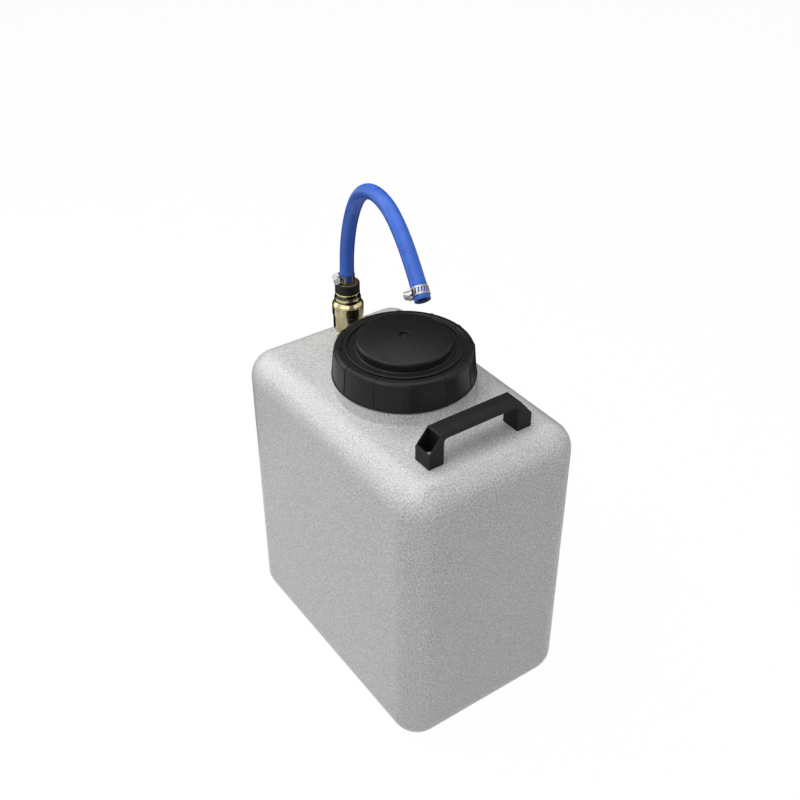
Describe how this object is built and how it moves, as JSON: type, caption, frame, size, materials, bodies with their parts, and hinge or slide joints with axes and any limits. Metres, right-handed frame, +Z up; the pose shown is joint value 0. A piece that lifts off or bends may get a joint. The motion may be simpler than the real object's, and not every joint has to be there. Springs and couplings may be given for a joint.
{
  "type": "portable fresh water tank",
  "caption": "White moulded water tank with a black screw cap, a bridge handle and a brass quick coupling with a blue hose arching from it.",
  "frame": {"origin": "on the floor under the middle of the tank", "axes": "+Z up, +X across the tank's narrow side, +Y along its long side towards the coupling"},
  "size_m": [0.208, 0.32, 0.5603],
  "materials": {
    "tank_plastic": "translucent white, fine grain",
    "cap_plastic": "black moulded, satin grain",
    "handle_plastic": "black moulded, satin",
    "collar_plastic": "black moulded, smooth",
    "seal_rubber": "soft matte",
    "brass": "turned and polished",
    "stainless": "bright rolled strip",
    "screw_steel": "bright",
    "spring_steel": "drawn wire",
    "hose_blue": "soft satin hose",
    "tube_plastic": "natural",
    "strainer_plastic": "moulded"
  },
  "bodies": {
    "tank": {"tank_shell": "tank_plastic", "carry_handle": "handle_plastic", "handle_screws": "screw_steel", "handle_washers": "screw_steel", "handle_inserts": "brass", "roof_stem": "brass", "stem_lower_seal": "seal_rubber", "stem_upper_seal": "seal_rubber", "coupling_socket": "brass", "locking_balls": "screw_steel", "nose_ring": "brass", "sleeve_spring": "spring_steel", "dip_tube": "tube_plastic", "foot_strainer": "strainer_plastic"},
    "cap_carrier": {"cap_gasket": "seal_rubber"},
    "cap": {"screw_cap": "cap_plastic"},
    "sleeve": {"locking_sleeve": "brass"},
    "hose_set": {"hose_plug": "brass", "plug_collar": "collar_plastic", "plug_o_ring": "seal_rubber", "hose": "hose_blue", "lower_clamp_band": "stainless", "lower_clamp_housing": "stainless", "lower_clamp_screw": "screw_steel", "end_clamp_band": "stainless", "end_clamp_housing": "stainless", "end_clamp_screw": "screw_steel"}
  },
  "joints": [
    {"name": "cap_turn", "type": "hinge", "parent": "cap_carrier", "child": "cap", "pos_m": [0, 0, 0.375], "axis": [0, 0, 1], "range_deg": [0, 720]},
    {"name": "cap_lift", "type": "slide", "parent": "tank", "child": "cap_carrier", "axis": [0, 0, 1], "range_m": [0, 0.012]},
    {"name": "sleeve_pull", "type": "slide", "parent": "tank", "child": "sleeve", "axis": [0, 0, -1], "range_m": [0, 0.0045], "stiffness_N_per_m": 1200, "springref_m": -0.003, "deforming": ["sleeve_spring"]},
    {"name": "hose_swivel", "type": "hinge", "parent": "tank", "child": "hose_set", "pos_m": [0, 0.104, 0.405], "axis": [0, 0, 1], "continuous": true}
  ],
  "couplings": [
    {"joint": "cap_lift", "follows": "cap_turn", "m_per_rad": 0.00095493}
  ]
}
